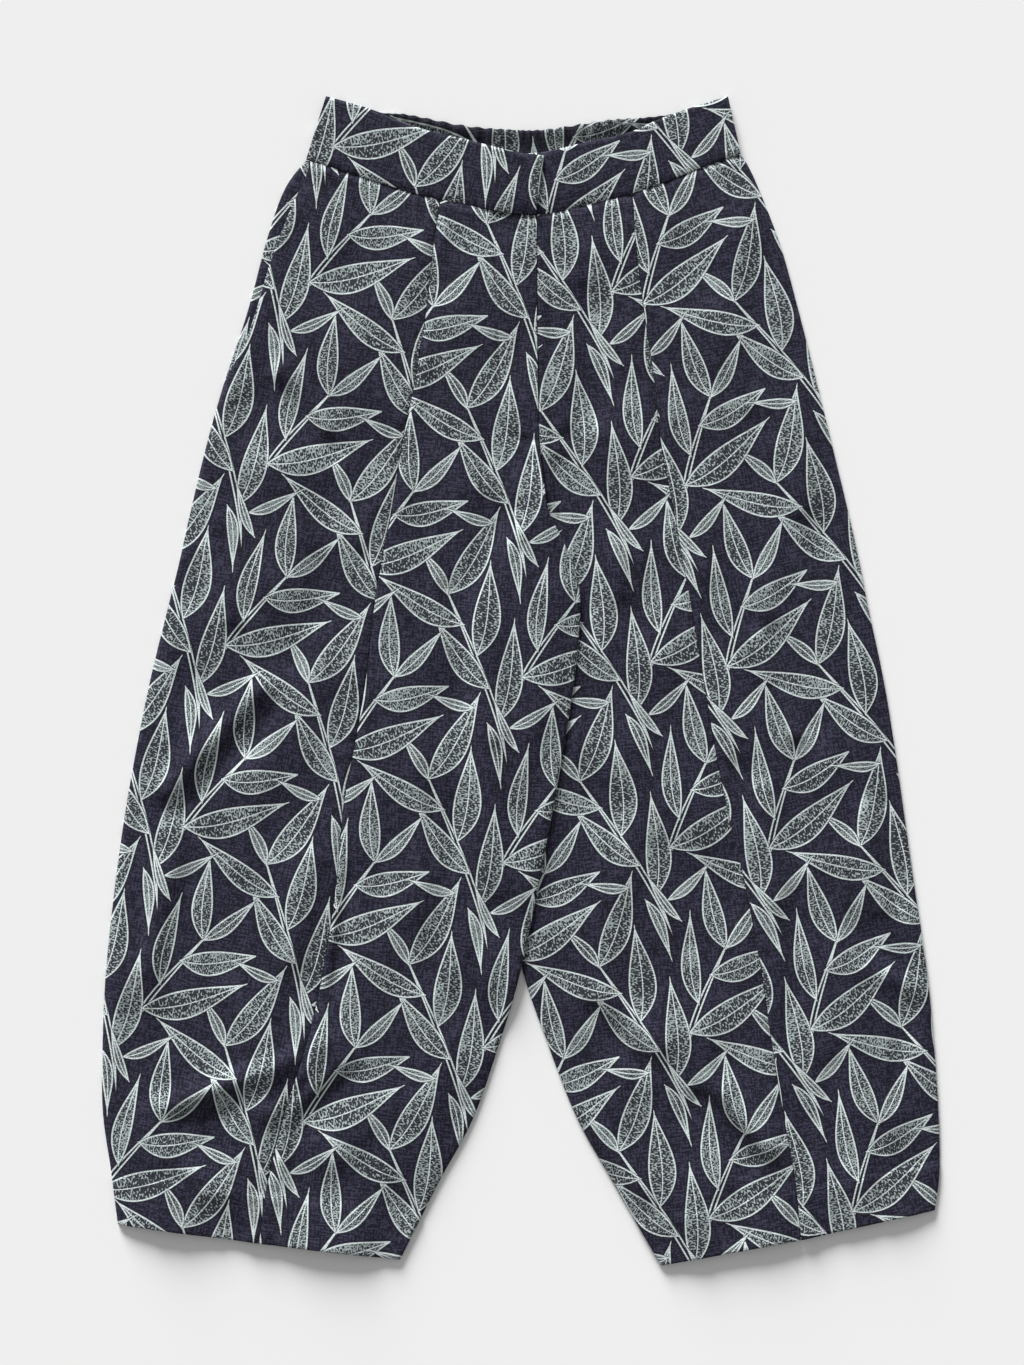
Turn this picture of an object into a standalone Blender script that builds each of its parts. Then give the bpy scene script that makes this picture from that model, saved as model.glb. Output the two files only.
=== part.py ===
"""Barrel leg pants lying flat on their back, front face up.

Metres, +Z up. +Y runs up to the waist and +X to the wearer's left. The origin is on
the surface that the pants lie on, under the middle of them. Sizes below are in
millimetres; a "drop" is measured down the garment from its two waist corners.
"""
from collections import namedtuple
import math

import bmesh
import bpy
import numpy as np

MM = 0.001

# Driving sizes.
LENGTH = 993.0  # waist corners to the lowest hem corner
WALL = 1.6  # leg cloth
GAP = 0.3  # between two pieces at a seam
STACK_GAP = 0.4  # between two layers that lie on each other
BACK_SEAM_GAP = 1.0  # the backs end this far below the curve of their waistband
BAND_WALL = 2.2  # front waistband, folded double
BAND_FLOOR = 2.8  # underside of the front waistband, on the gathered back one
BACK_BAND_WALL = 1.6  # back waistband in the valleys between its gathers
GATHER_HEIGHT = 0.8
GATHERS = 26
FACING_WALL = 1.2  # strip of pocket facing
FACING_UNDER = 10.0  # how far the facing runs in under the front

FULLNESS = 2.6  # how far the front of a leg stands off the back in mid leg
FULLNESS_REACH = 55.0  # from an edge of the leg to its full height
WAIST_LIFT = 0.9  # the front starts this much higher, level with the waistband
WAIST_ROWS = 2.5  # sections over which that lift turns into the fullness
BOW_ROWS = 3.0  # sections over which the bow of the waist seam fades out
FLY_STEP = 1.0  # the right front laps over the left at the fly
FLY_WIDTH = 30.0
FLY_END = 313.0  # drop below the foot of the fly
FLY_FADE = 20.0
CROTCH = 351.0  # drop of the crotch point
CROTCH_FADE = 60.0  # below it the inner edges of the legs sink to the back
CLIMB = 38.0  # width over which the right leg climbs onto the left one
CLIMB_DROP = 317.0  # where that starts, down the garment
CLIMB_LENGTH = 30.0
LEG_GAP = 0.9  # between the two legs where one lies on the other
TAB_CLIMB = 30.0  # the same for the waistband's overlap tab
TAB_START = -14.0  # where the left waistband ends, under the tab
LEVEL = 4.0  # a climb ends this far short of the edge that it climbs onto
POCKET_LIFT_WIDTH = 46.0  # the right front is raised over the pocket facing
POCKET_LIFT_END = 270.0
POCKET_LIFT_FADE = 20.0
POCKET_ROWS = 4.0  # sections down to the foot of the pocket mouth
GATHER_UNEVEN = 0.28  # how much lower the lowest gathers are
GATHER_SWELLS = 5.3  # how often that comes and goes along the band
GATHER_EDGE = 0.55  # height of a gather at the two edges of the band

LENGTH_STEPS = 46  # faces down a leg
SIDE_COLUMNS = 8  # faces across a side panel
CENTRE_COLUMNS = 9
FLAT_STEPS = (5, 34)  # faces across and down the back that lies flat
FACING_STEPS = (3, 16)
BAND_COLUMNS = 26
BAND_ROWS = 4
GATHER_COLUMNS = 5  # faces along each gather

Section = namedtuple("Section", "outer_x outer_drop seam_x seam_drop inner_x inner_drop")
Station = namedtuple("Station", "top_x top_drop foot_x foot_drop")
Inset = namedtuple("Inset", "drop inset")
Fold = namedtuple("Fold", "leg start_x start_drop end_x end_drop height half_width")

# Sections down each leg: side edge, long panel seam, then centre seam or inner leg.
# Both legs share the centre seam down to the crotch, which is row CROTCH_ROW.
CROTCH_ROW = 6
RIGHT_LEG = [
    Section(-182, 54, -68, 88, 14, 101),
    Section(-200, 78, -70, 103, 14, 113),
    Section(-215, 120, -74, 128, 14, 133),
    Section(-232, 183, -80, 183, 14, 183),
    Section(-252, 244, -90, 244, 15, 244),
    Section(-266, 293, -100, 293, 16, 293),
    Section(-280, 351, -109, 351, 23, 351),
    Section(-290, 396, -118, 396, 44, 396),
    Section(-299, 432, -124, 432, 51, 432),
    Section(-314, 493, -131, 493, 46, 493),
    Section(-325, 547, -140, 547, 38, 547),
    Section(-335, 603, -150, 603, 28, 603),
    Section(-344, 666, -156, 666, 16, 666),
    Section(-352, 740, -167, 740, 1, 740),
    Section(-355, 802, -181, 802, -17, 802),
    Section(-355, 861, -200, 863, -40, 868),
    Section(-348, 912, -214, 920, -69, 922),
    Section(-342, 958, -222, 974, -102, 988),
]
LEFT_LEG = [
    Section(187, 49, 95, 83, 14, 101),
    Section(198, 68, 96, 97, 14, 113),
    Section(220, 124, 98, 126, 14, 133),
    Section(236, 181, 105, 183, 14, 183),
    Section(252, 244, 114, 244, 15, 244),
    Section(264, 293, 119, 293, 16, 293),
    Section(278, 351, 130, 351, 23, 351),
    Section(288, 396, 138, 396, -4, 396),
    Section(295, 432, 145, 432, -15, 432),
    Section(308, 493, 155, 493, -22, 493),
    Section(317, 547, 164, 547, -23, 547),
    Section(325, 603, 175, 603, -20, 603),
    Section(334, 666, 190, 666, -13, 666),
    Section(345, 740, 204, 740, 1, 740),
    Section(351, 802, 213, 802, 22, 802),
    Section(355, 861, 223, 864, 48, 868),
    Section(356, 912, 233, 920, 80, 925),
    Section(352, 946, 238, 971, 119, 993),
]

# Waistbands: the free top edge and the seam at the foot.
BAND_RIGHT = [
    Station(-165, 0, -182, 54),
    Station(-127, 11, -142, 66),
    Station(-101, 22, -109, 77),
    Station(-72, 31, -77, 86),
    Station(-45, 37, -50, 91),
    Station(-8, 47, -12, 99),
    Station(20, 51, 13, 101),
]
BAND_LEFT = [
    Station(TAB_START, 50, TAB_START, 99),
    Station(21, 47, 22, 100),
    Station(51, 40, 54, 93),
    Station(91, 31, 97, 82),
    Station(114, 21, 123, 73),
    Station(141, 11, 153, 61),
    Station(176, 0, 187, 49),
]
BAND_BACK = [
    Station(-164, 1, -181, 54),
    Station(-127, 12, -140, 62),
    Station(-98, 15, -104, 69),
    Station(-48, 25, -50, 78),
    Station(-8, 28, -8, 82),
    Station(22, 28, 22, 82),
    Station(77, 20, 80, 76),
    Station(114, 17, 121, 69),
    Station(141, 12, 150, 60),
    Station(175, 1, 186, 49),
]

# How far the pocket mouth of the right front lies inside the edge of the leg.
POCKET_MOUTH = [
    Inset(54, 2),
    Inset(63, 9),
    Inset(76, 13),
    Inset(110, 11),
    Inset(150, 8),
    Inset(197, 7),
    Inset(225, 4),
    Inset(244, 0),
]

# The largest folds of the fronts: ridges rise, troughs have a negative height.
FOLDS = [
    Fold("right", -144, 830, -190, 876, -1.5, 13),
    Fold("right", -166, 806, -214, 856, 1.6, 17),
    Fold("right", -116, 858, -160, 902, 1.2, 16),
    Fold("right", -250, 866, -274, 892, -1.0, 12),
    Fold("right", -238, 338, -216, 386, -1.3, 18),
    Fold("right", -212, 322, -190, 372, 1.1, 18),
    Fold("right", -162, 402, -196, 472, -1.1, 20),
    Fold("right", -270, 500, -234, 548, -1.2, 17),
    Fold("right", -86, 590, -92, 690, 1.0, 20),
    Fold("left", 156, 858, 190, 906, -1.5, 12),
    Fold("left", 176, 842, 212, 892, 1.4, 15),
    Fold("left", 168, 424, 192, 506, -1.3, 17),
    Fold("left", 202, 418, 222, 504, 1.2, 18),
    Fold("left", 222, 506, 250, 546, -1.2, 14),
    Fold("left", 232, 682, 241, 756, -1.1, 13),
    Fold("left", 294, 710, 308, 836, -1.0, 15),
    Fold("left", 268, 690, 276, 800, 1.0, 16),
    Fold("left", 30, 312, 44, 372, -1.4, 8),
    Fold("left", 92, 560, 84, 680, 1.0, 20),
]

NAVY = (0.105, 0.120, 0.140, 1.0)  # navy cloth with its pale print, seen from a step away
INSIDE_NAVY = (0.060, 0.065, 0.085, 1.0)  # paler print of the inner face
CLOTH_ROUGHNESS = 0.85
COLLECTION = "barrel_leg_pants"


def soft_step(value):
    """0 below 0, 1 above 1, with a soft run between them."""
    value = min(max(value, 0.0), 1.0)
    return value * value * (3.0 - 2.0 * value)


def along(rows, column, place, corner=None):
    """A column's value at a row number with a fraction, on a smooth curve through the rows.

    The curve turns a sharp corner at row number corner, where one is given.
    """
    last = len(rows) - 1
    row = min(int(place), last - 1)
    part = place - row
    low, high = 0, last
    if corner is not None:
        low, high = (0, corner) if row < corner else (corner, last)
    before, start, end, after = (
        getattr(rows[min(max(number, low), high)], column) for number in range(row - 1, row + 3)
    )
    leave = (end - before) / 2.0
    arrive = (after - start) / 2.0
    return (
        start * (1 + 2 * part) * (1 - part) ** 2
        + leave * part * (1 - part) ** 2
        + end * part * part * (3 - 2 * part)
        + arrive * part * part * (part - 1)
    )


class Curve:
    """x against drop, or drop against x, read from two columns of a table."""

    STEPS = 400

    def __init__(self, rows, key, value, corner=None):
        places = np.linspace(0.0, len(rows) - 1.0, self.STEPS)
        self.keys = [along(rows, key, place, corner) for place in places]
        self.values = [along(rows, value, place, corner) for place in places]

    def at(self, key):
        return float(np.interp(key, self.keys, self.values))


RIGHT_EDGE = Curve(RIGHT_LEG, "outer_drop", "outer_x")
LEFT_EDGE = Curve(LEFT_LEG, "outer_drop", "outer_x")
RIGHT_INNER = Curve(RIGHT_LEG, "inner_drop", "inner_x", CROTCH_ROW)
LEFT_INNER = Curve(LEFT_LEG, "inner_drop", "inner_x", CROTCH_ROW)
RIGHT_WAIST = Curve(BAND_RIGHT, "foot_x", "foot_drop")
LEFT_WAIST = Curve(BAND_LEFT, "foot_x", "foot_drop")
BACK_WAIST = Curve(BAND_BACK, "foot_x", "foot_drop")
POCKET_INSET = Curve(POCKET_MOUTH, "drop", "inset")


def fold_height(leg, x, drop):
    """The folds of one leg at a point, summed."""
    height = 0.0
    for fold in FOLDS:
        if fold.leg != leg:
            continue
        run_x = fold.end_x - fold.start_x
        run_drop = fold.end_drop - fold.start_drop
        share = ((x - fold.start_x) * run_x + (drop - fold.start_drop) * run_drop) / (
            run_x * run_x + run_drop * run_drop
        )
        near = min(max(share, 0.0), 1.0)
        away = math.hypot(x - fold.start_x - near * run_x, drop - fold.start_drop - near * run_drop)
        height += fold.height * math.exp(-((away / fold.half_width) ** 2))
    return height


def fullness(leg, x, drop, row):
    """How far the front of a leg stands off the back at a point."""
    outer, inner = (RIGHT_EDGE, RIGHT_INNER) if leg == "right" else (LEFT_EDGE, LEFT_INNER)
    from_side = abs(x - outer.at(drop))
    above_crotch = 1.0 - soft_step((drop - CROTCH) / CROTCH_FADE)
    from_inner = abs(x - inner.at(drop)) + FULLNESS_REACH * above_crotch
    room = soft_step(min(from_side, from_inner) / FULLNESS_REACH)
    below_waist = soft_step(row / WAIST_ROWS)
    stand = (FULLNESS + fold_height(leg, x, drop)) * room * below_waist
    return max(stand, 0.0) + WAIST_LIFT * (1.0 - below_waist)


def left_front_top(x, drop, row):
    return 2 * WALL + STACK_GAP + fullness("left", x, drop, row)


def right_climb(x, drop, row):
    """How far the right leg is lifted where its inner side lies on the left leg."""
    onto_left = soft_step((x - LEFT_INNER.at(drop) + CLIMB) / (CLIMB - LEVEL))
    below_crotch = soft_step((drop - CLIMB_DROP) / CLIMB_LENGTH)
    return (left_front_top(x, drop, row) + LEG_GAP) * onto_left * below_crotch


def pocket_lift(x, drop):
    """The right front lies on the pocket facing along its side edge."""
    near_side = soft_step((POCKET_LIFT_WIDTH - x + RIGHT_EDGE.at(drop)) / POCKET_LIFT_FADE)
    return (FACING_WALL + STACK_GAP) * near_side * soft_step((POCKET_LIFT_END - drop) / POCKET_LIFT_FADE)


def fly_step(x, drop):
    from_centre = RIGHT_INNER.at(drop) - x
    return FLY_STEP * soft_step(1.0 - from_centre / FLY_WIDTH) * soft_step((FLY_END - drop) / FLY_FADE)


def right_front_top(x, drop, row):
    stand = max(fullness("right", x, drop, row), pocket_lift(x, drop))
    return 2 * WALL + STACK_GAP + stand + fly_step(x, drop) + right_climb(x, drop, row)


def right_back_top(x, drop, row):
    return WALL + right_climb(x, drop, row)


def left_back_top(x, drop, row):
    return WALL


def leg_point(rows, across_from, across_to, share, row, waist):
    """x and drop of a point of a leg: at a row, a share of the way between two of its lines.

    A line is a column name and the distance to keep from it. The top row follows the
    waist seam, whose bow fades out over the first rows.
    """
    seam_gap = BACK_SEAM_GAP if waist is BACK_WAIST else STACK_GAP

    def on_row(number):
        ends = []
        for column, shift in (across_from, across_to):
            corner = CROTCH_ROW if column == "inner" else None
            x = along(rows, column + "_x", number, corner) + shift
            ends.append((x, along(rows, column + "_drop", number, corner)))
        (x0, drop0), (x1, drop1) = ends
        return x0 + (x1 - x0) * share, drop0 + (drop1 - drop0) * share

    x, drop = on_row(row)
    top_x, top_drop = on_row(0.0)
    bow = waist.at(top_x) + seam_gap - top_drop
    return x, drop + bow * (1.0 - soft_step(row / BOW_ROWS))


def sheet(name, columns, rows, place, top):
    """An open grid: place(u, v) gives x and drop, top(x, drop, v) its upper face, v=0 at the waist."""
    mesh = bpy.data.meshes.new(name)
    grid = bmesh.new()
    bmesh.ops.create_grid(grid, x_segments=columns, y_segments=rows, size=1.0)
    for vertex in grid.verts:
        u = (vertex.co.x + 1.0) / 2.0
        v = (1.0 - vertex.co.y) / 2.0
        x, drop = place(u, v)
        vertex.co = (x * MM, (LENGTH / 2.0 - drop) * MM, top(x, drop, u, v) * MM)
    grid.to_mesh(mesh)
    grid.free()
    piece = bpy.data.objects.new(name, mesh)
    bpy.data.collections[COLLECTION].objects.link(piece)
    return piece


def thicken(piece, wall):
    shell = piece.modifiers.new("wall", "SOLIDIFY")
    shell.thickness = wall * MM
    shell.offset = -1.0
    piece.data.shade_smooth()


def stand_on_floor(piece):
    """Close a grid down to a flat face on the floor."""
    solid = bmesh.new()
    solid.from_mesh(piece.data)
    made = bmesh.ops.extrude_face_region(solid, geom=solid.faces[:], use_keep_orig=True)
    for vertex in (item for item in made["geom"] if isinstance(item, bmesh.types.BMVert)):
        vertex.co.z = 0.0
    bmesh.ops.recalc_face_normals(solid, faces=solid.faces[:])
    solid.to_mesh(piece.data)
    solid.free()


def paint(piece, colour):
    cloth = bpy.data.materials.new(piece.name + "_cloth")
    cloth.use_nodes = True
    shader = cloth.node_tree.nodes["Principled BSDF"]
    shader.inputs["Base Color"].default_value = colour
    shader.inputs["Roughness"].default_value = CLOTH_ROUGHNESS
    shader.inputs["Metallic"].default_value = 0.0
    piece.data.materials.append(cloth)


def leg_panel(name, rows, lines, steps, top, waist):
    """One cut piece of a leg between two lines of its table, from the waist to the hem."""
    columns, length_steps = steps
    across_from, across_to = lines
    last = len(rows) - 1

    def place(u, v):
        return leg_point(rows, across_from, across_to, u, v * last, waist)

    def height(x, drop, u, v):
        return top(x, drop, v * last)

    panel = sheet(name, columns, length_steps, place, height)
    thicken(panel, WALL)
    paint(panel, NAVY)
    return panel


def build_fronts():
    half = GAP / 2.0
    centre = (CENTRE_COLUMNS, LENGTH_STEPS)
    side = (SIDE_COLUMNS, LENGTH_STEPS)
    lines = (("seam", half), ("inner", -half))
    leg_panel("front_right_centre", RIGHT_LEG, lines, centre, right_front_top, RIGHT_WAIST)
    lines = (("inner", half), ("seam", -half))
    leg_panel("front_left_centre", LEFT_LEG, lines, centre, left_front_top, LEFT_WAIST)
    lines = (("seam", half), ("outer", 0.0))
    leg_panel("front_left_side", LEFT_LEG, lines, side, left_front_top, LEFT_WAIST)
    build_pocket_side(half)


def build_pocket_side(half):
    """The right side panel: its side edge is the pocket mouth, drawn in from the edge of the leg."""
    last = len(RIGHT_LEG) - 1

    def place(u, v):
        row = v * last
        inset = POCKET_INSET.at(along(RIGHT_LEG, "outer_drop", row))
        return leg_point(RIGHT_LEG, ("outer", inset), ("seam", -half), u, row, RIGHT_WAIST)

    def height(x, drop, u, v):
        return right_front_top(x, drop, v * last)

    panel = sheet("front_right_side", SIDE_COLUMNS, LENGTH_STEPS, place, height)
    thicken(panel, WALL)
    paint(panel, NAVY)


def build_facing():
    """The strip of pocket facing, from the waistband to the foot of the pocket mouth."""

    def place(u, v):
        row = v * POCKET_ROWS
        reach = POCKET_INSET.at(along(RIGHT_LEG, "outer_drop", row)) + FACING_UNDER
        return leg_point(RIGHT_LEG, ("outer", 0.0), ("outer", reach), u, row, RIGHT_WAIST)

    def height(x, drop, u, v):
        return WALL + STACK_GAP + FACING_WALL

    strip = sheet("pocket_facing_right", FACING_STEPS[0], FACING_STEPS[1], place, height)
    thicken(strip, FACING_WALL)
    paint(strip, NAVY)


def build_backs():
    half = GAP / 2.0
    last = len(RIGHT_LEG) - 1
    columns = SIDE_COLUMNS + CENTRE_COLUMNS

    def place(u, v):
        """Its columns lie under those of the two front panels, so the layers never touch."""
        column = u * columns
        if column <= SIDE_COLUMNS:
            share = column / SIDE_COLUMNS
            return leg_point(RIGHT_LEG, ("outer", 0.0), ("seam", 0.0), share, v * last, BACK_WAIST)
        share = (column - SIDE_COLUMNS) / CENTRE_COLUMNS
        return leg_point(RIGHT_LEG, ("seam", 0.0), ("inner", -half), share, v * last, BACK_WAIST)

    def height(x, drop, u, v):
        return right_back_top(x, drop, v * last)

    right = sheet("back_right", columns, LENGTH_STEPS, place, height)
    thicken(right, WALL)
    paint(right, NAVY)
    lines = (("inner", half), ("outer", 0.0))
    leg_panel("back_left", LEFT_LEG, lines, FLAT_STEPS, left_back_top, BACK_WAIST)


def band_point(stations, u, v):
    """A point of a waistband: u along it, v from its free edge to its seam."""
    place = u * (len(stations) - 1)
    x = along(stations, "top_x", place) * (1 - v) + along(stations, "foot_x", place) * v
    drop = along(stations, "top_drop", place) * (1 - v) + along(stations, "foot_drop", place) * v
    return x, drop


def tab_climb(x):
    """The overlap tab lies on the end of the left waistband."""
    return (BAND_WALL + STACK_GAP) * soft_step((x - TAB_START + TAB_CLIMB) / (TAB_CLIMB - LEVEL))


def build_front_bands():
    right = sheet(
        "waistband_right",
        BAND_COLUMNS,
        BAND_ROWS,
        lambda u, v: band_point(BAND_RIGHT, u, v),
        lambda x, drop, u, v: BAND_FLOOR + BAND_WALL + tab_climb(x),
    )
    left = sheet(
        "waistband_left",
        BAND_COLUMNS,
        BAND_ROWS,
        lambda u, v: band_point(BAND_LEFT, u, v),
        lambda x, drop, u, v: BAND_FLOOR + BAND_WALL,
    )
    for band in (right, left):
        thicken(band, BAND_WALL)
        paint(band, NAVY)


def gather_height(u, v):
    """Gathers of the elasticated band: uneven ridges across it, lower at its two edges."""
    wave = 0.5 - 0.5 * math.cos(2.0 * math.pi * GATHERS * u)
    uneven = 1.0 - GATHER_UNEVEN * (0.5 + 0.5 * math.sin(2.0 * math.pi * GATHER_SWELLS * u))
    across = GATHER_EDGE + (1.0 - GATHER_EDGE) * math.sin(math.pi * v)
    return GATHER_HEIGHT * wave * uneven * across


def build_back_band():
    band = sheet(
        "waistband_back",
        GATHERS * GATHER_COLUMNS,
        BAND_ROWS,
        lambda u, v: band_point(BAND_BACK, u, v),
        lambda x, drop, u, v: BACK_BAND_WALL + gather_height(u, v),
    )
    stand_on_floor(band)
    paint(band, INSIDE_NAVY)


def main():
    for item in list(bpy.data.objects):
        bpy.data.objects.remove(item, do_unlink=True)
    collection = bpy.data.collections.new(COLLECTION)
    bpy.context.scene.collection.children.link(collection)
    build_backs()
    build_back_band()
    build_fronts()
    build_facing()
    build_front_bands()


main()
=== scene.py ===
# %% [markdown]
# # Barrel leg pants, laid flat
#
# These pants are cut from a printed navy cotton and lie on their back on a pale table. Nothing on
# them moves, so the whole lesson is about cloth: thin panels that lie on each other, the seams
# that join them, the soft creases between, and a leaf print that follows the grain of each panel.
#
# The imported model gives every panel's place and size. We load it first. The cloth may not grow
# far past it.

# %% Load the frame
import math
from collections import namedtuple

import bpy
import numpy as np
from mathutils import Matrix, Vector, noise
from mathutils.bvhtree import BVHTree


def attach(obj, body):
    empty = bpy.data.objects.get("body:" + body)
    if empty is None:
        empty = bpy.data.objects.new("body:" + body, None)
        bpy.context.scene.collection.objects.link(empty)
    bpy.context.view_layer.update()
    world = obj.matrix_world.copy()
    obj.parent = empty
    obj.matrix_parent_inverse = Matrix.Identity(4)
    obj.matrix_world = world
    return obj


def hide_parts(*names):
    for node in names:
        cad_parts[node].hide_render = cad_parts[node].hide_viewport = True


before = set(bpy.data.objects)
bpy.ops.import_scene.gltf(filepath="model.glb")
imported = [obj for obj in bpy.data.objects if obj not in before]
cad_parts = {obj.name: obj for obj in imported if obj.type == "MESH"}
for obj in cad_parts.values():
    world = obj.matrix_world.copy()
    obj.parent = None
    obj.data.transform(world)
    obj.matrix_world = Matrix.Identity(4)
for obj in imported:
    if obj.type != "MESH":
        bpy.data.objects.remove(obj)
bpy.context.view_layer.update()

bpy.ops.object.select_all(action="DESELECT")

# %% [markdown]
# ## The pattern pieces
#
# A pattern cutter draws each leg as a row of cross sections. We do the same: every row says where
# the side edge, the long panel seam and the inner line of the leg are, as x and as the drop below
# the waist corners, in millimetres. A smooth curve through the rows gives every line between them.
# The lines could be curve objects too, but a table can be read and corrected number by number.

# %% Sections of the legs
MM = 0.001
LENGTH = 993.0  # waist corners to the lowest hem corner
CROTCH_ROW = 6  # the row of both tables where the inner line has its corner
CROTCH = 351.0

LINES = ("outer_x", "outer_drop", "seam_x", "seam_drop", "inner_x", "inner_drop")
RIGHT_ROWS = [
    (-182, 54, -68, 88, 14, 101),
    (-200, 78, -70, 103, 14, 113),
    (-215, 120, -74, 128, 14, 133),
    (-232, 183, -80, 183, 14, 183),
    (-252, 244, -90, 244, 15, 244),
    (-266, 293, -100, 293, 16, 293),
    (-280, 351, -109, 351, 23, 351),
    (-290, 396, -118, 396, 44, 396),
    (-299, 432, -124, 432, 51, 432),
    (-314, 493, -131, 493, 46, 493),
    (-325, 547, -140, 547, 38, 547),
    (-335, 603, -150, 603, 28, 603),
    (-344, 666, -156, 666, 16, 666),
    (-352, 740, -167, 740, 1, 740),
    (-355, 802, -181, 802, -17, 802),
    (-355, 861, -200, 863, -40, 868),
    (-348, 912, -214, 920, -69, 922),
    (-342, 958, -222, 974, -102, 988),
]
LEFT_ROWS = [
    (187, 49, 95, 83, 14, 101),
    (198, 68, 96, 97, 14, 113),
    (220, 124, 98, 126, 14, 133),
    (236, 181, 105, 183, 14, 183),
    (252, 244, 114, 244, 15, 244),
    (264, 293, 119, 293, 16, 293),
    (278, 351, 130, 351, 23, 351),
    (288, 396, 138, 396, -4, 396),
    (295, 432, 145, 432, -15, 432),
    (308, 493, 155, 493, -22, 493),
    (317, 547, 164, 547, -23, 547),
    (325, 603, 175, 603, -20, 603),
    (334, 666, 190, 666, -13, 666),
    (345, 740, 204, 740, 1, 740),
    (351, 802, 213, 802, 22, 802),
    (355, 861, 223, 864, 48, 868),
    (356, 912, 233, 920, 80, 925),
    (352, 946, 238, 971, 119, 993),
]
print(len(RIGHT_ROWS), "sections a leg, from the waist seam to the hem")

# %% Stations of the waistbands, and the pocket mouth
# x and drop of a waistband's free edge, then of its seam.
BAND_RIGHT = [
    (-165, 0, -182, 54),
    (-127, 11, -142, 66),
    (-101, 22, -109, 77),
    (-72, 31, -77, 86),
    (-45, 37, -50, 91),
    (-8, 47, -12, 99),
    (20, 51, 13, 101),
]
BAND_LEFT = [
    (-14, 50, -14, 99),
    (21, 47, 22, 100),
    (51, 40, 54, 93),
    (91, 31, 97, 82),
    (114, 21, 123, 73),
    (141, 11, 153, 61),
    (176, 0, 187, 49),
]
BAND_BACK = [
    (-164, 1, -181, 54),
    (-127, 12, -140, 62),
    (-98, 15, -104, 69),
    (-48, 25, -50, 78),
    (-8, 28, -8, 82),
    (22, 28, 22, 82),
    (77, 20, 80, 76),
    (114, 17, 121, 69),
    (141, 12, 150, 60),
    (175, 1, 186, 49),
]
# How far the pocket mouth lies inside the side edge: drop, inset.
POCKET_MOUTH = [(54, 2), (63, 9), (76, 13), (110, 11), (150, 8), (197, 7), (225, 4), (244, 0)]
print("pocket mouth:", POCKET_MOUTH[-1][0] - POCKET_MOUTH[0][0], "mm long")

# %% Smooth curves through the tables
CURVE_SAMPLES = 400


def soft_step(value):
    """0 below 0, 1 above 1, with a soft run between them."""
    value = np.clip(value, 0.0, 1.0)
    return value * value * (3.0 - 2.0 * value)


def along(rows, column, place, corner=None):
    """A column's value at a row number with a fraction, on a smooth curve through the rows."""
    values = np.array([row[column] for row in rows], dtype=float)
    place = np.asarray(place, dtype=float)
    row = np.clip(place.astype(int), 0, len(values) - 2)
    part = place - row
    low = np.zeros_like(row)
    high = np.full_like(row, len(values) - 1)
    if corner is not None:
        low = np.where(row < corner, 0, corner)
        high = np.where(row < corner, corner, len(values) - 1)
    before, start, end, after = (values[np.clip(row + step, low, high)] for step in (-1, 0, 1, 2))
    return (
        start * (1 + 2 * part) * (1 - part) ** 2
        + (end - before) / 2 * part * (1 - part) ** 2
        + end * part * part * (3 - 2 * part)
        + (after - start) / 2 * part * part * (part - 1)
    )


def line_of(rows, column, row):
    """x and drop of one line of a leg at a row."""
    corner = CROTCH_ROW if column == "inner" else None
    first = LINES.index(column + "_x")
    return along(rows, first, row, corner), along(rows, first + 1, row, corner)


def lookup(rows, key, value, corner=None):
    """A function that reads one column of a table against another."""
    places = np.linspace(0.0, len(rows) - 1.0, CURVE_SAMPLES)
    keys = along(rows, key, places, corner)
    values = along(rows, value, places, corner)
    return lambda wanted: np.interp(wanted, keys, values)


LEGS = {"right": RIGHT_ROWS, "left": LEFT_ROWS}
outer_at = {leg: lookup(rows, 1, 0) for leg, rows in LEGS.items()}
inner_at = {leg: lookup(rows, 5, 4, CROTCH_ROW) for leg, rows in LEGS.items()}
waist_at = {
    "right": lookup(BAND_RIGHT, 2, 3),
    "left": lookup(BAND_LEFT, 2, 3),
    "back": lookup(BAND_BACK, 2, 3),
}
pocket_inset = lookup(POCKET_MOUTH, 0, 1)
print("side edge at mid leg:", float(outer_at["right"](600)), float(outer_at["left"](600)))

# %% [markdown]
# ## How high the cloth lies
#
# The back of each leg lies flat on the table. The front lies on it with some air between, most in
# the middle of the leg, and the right leg climbs over the inner side of the left one. The large
# folds come from a short table, each a soft ridge or trough along a line. Smaller creases, which
# only this scene has, sit in a second table. A cloth simulation could make creases as well, but
# pants that were smoothed by hand hardly fall, and a table puts each crease where it is wanted.

# %% The large folds
Fold = namedtuple("Fold", "leg start_x start_drop end_x end_drop height half_width")


def leg_folds(right, left):
    """A table for each leg, a row for each fold, with the columns of Fold after the leg."""
    return [Fold("right", *row) for row in right] + [Fold("left", *row) for row in left]


FOLDS = leg_folds([
    (-144, 830, -190, 876, -1.5, 13),
    (-166, 806, -214, 856, 1.6, 17),
    (-116, 858, -160, 902, 1.2, 16),
    (-250, 866, -274, 892, -1.0, 12),
    (-238, 338, -216, 386, -1.3, 18),
    (-212, 322, -190, 372, 1.1, 18),
    (-162, 402, -196, 472, -1.1, 20),
    (-270, 500, -234, 548, -1.2, 17),
    (-86, 590, -92, 690, 1.0, 20),
], [
    (156, 858, 190, 906, -1.5, 12),
    (176, 842, 212, 892, 1.4, 15),
    (168, 424, 192, 506, -1.3, 17),
    (202, 418, 222, 504, 1.2, 18),
    (222, 506, 250, 546, -1.2, 14),
    (232, 682, 241, 756, -1.1, 13),
    (294, 710, 308, 836, -1.0, 15),
    (268, 690, 276, 800, 1.0, 16),
    (30, 312, 44, 372, -1.4, 8),
    (92, 560, 84, 680, 1.0, 20),
])
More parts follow.
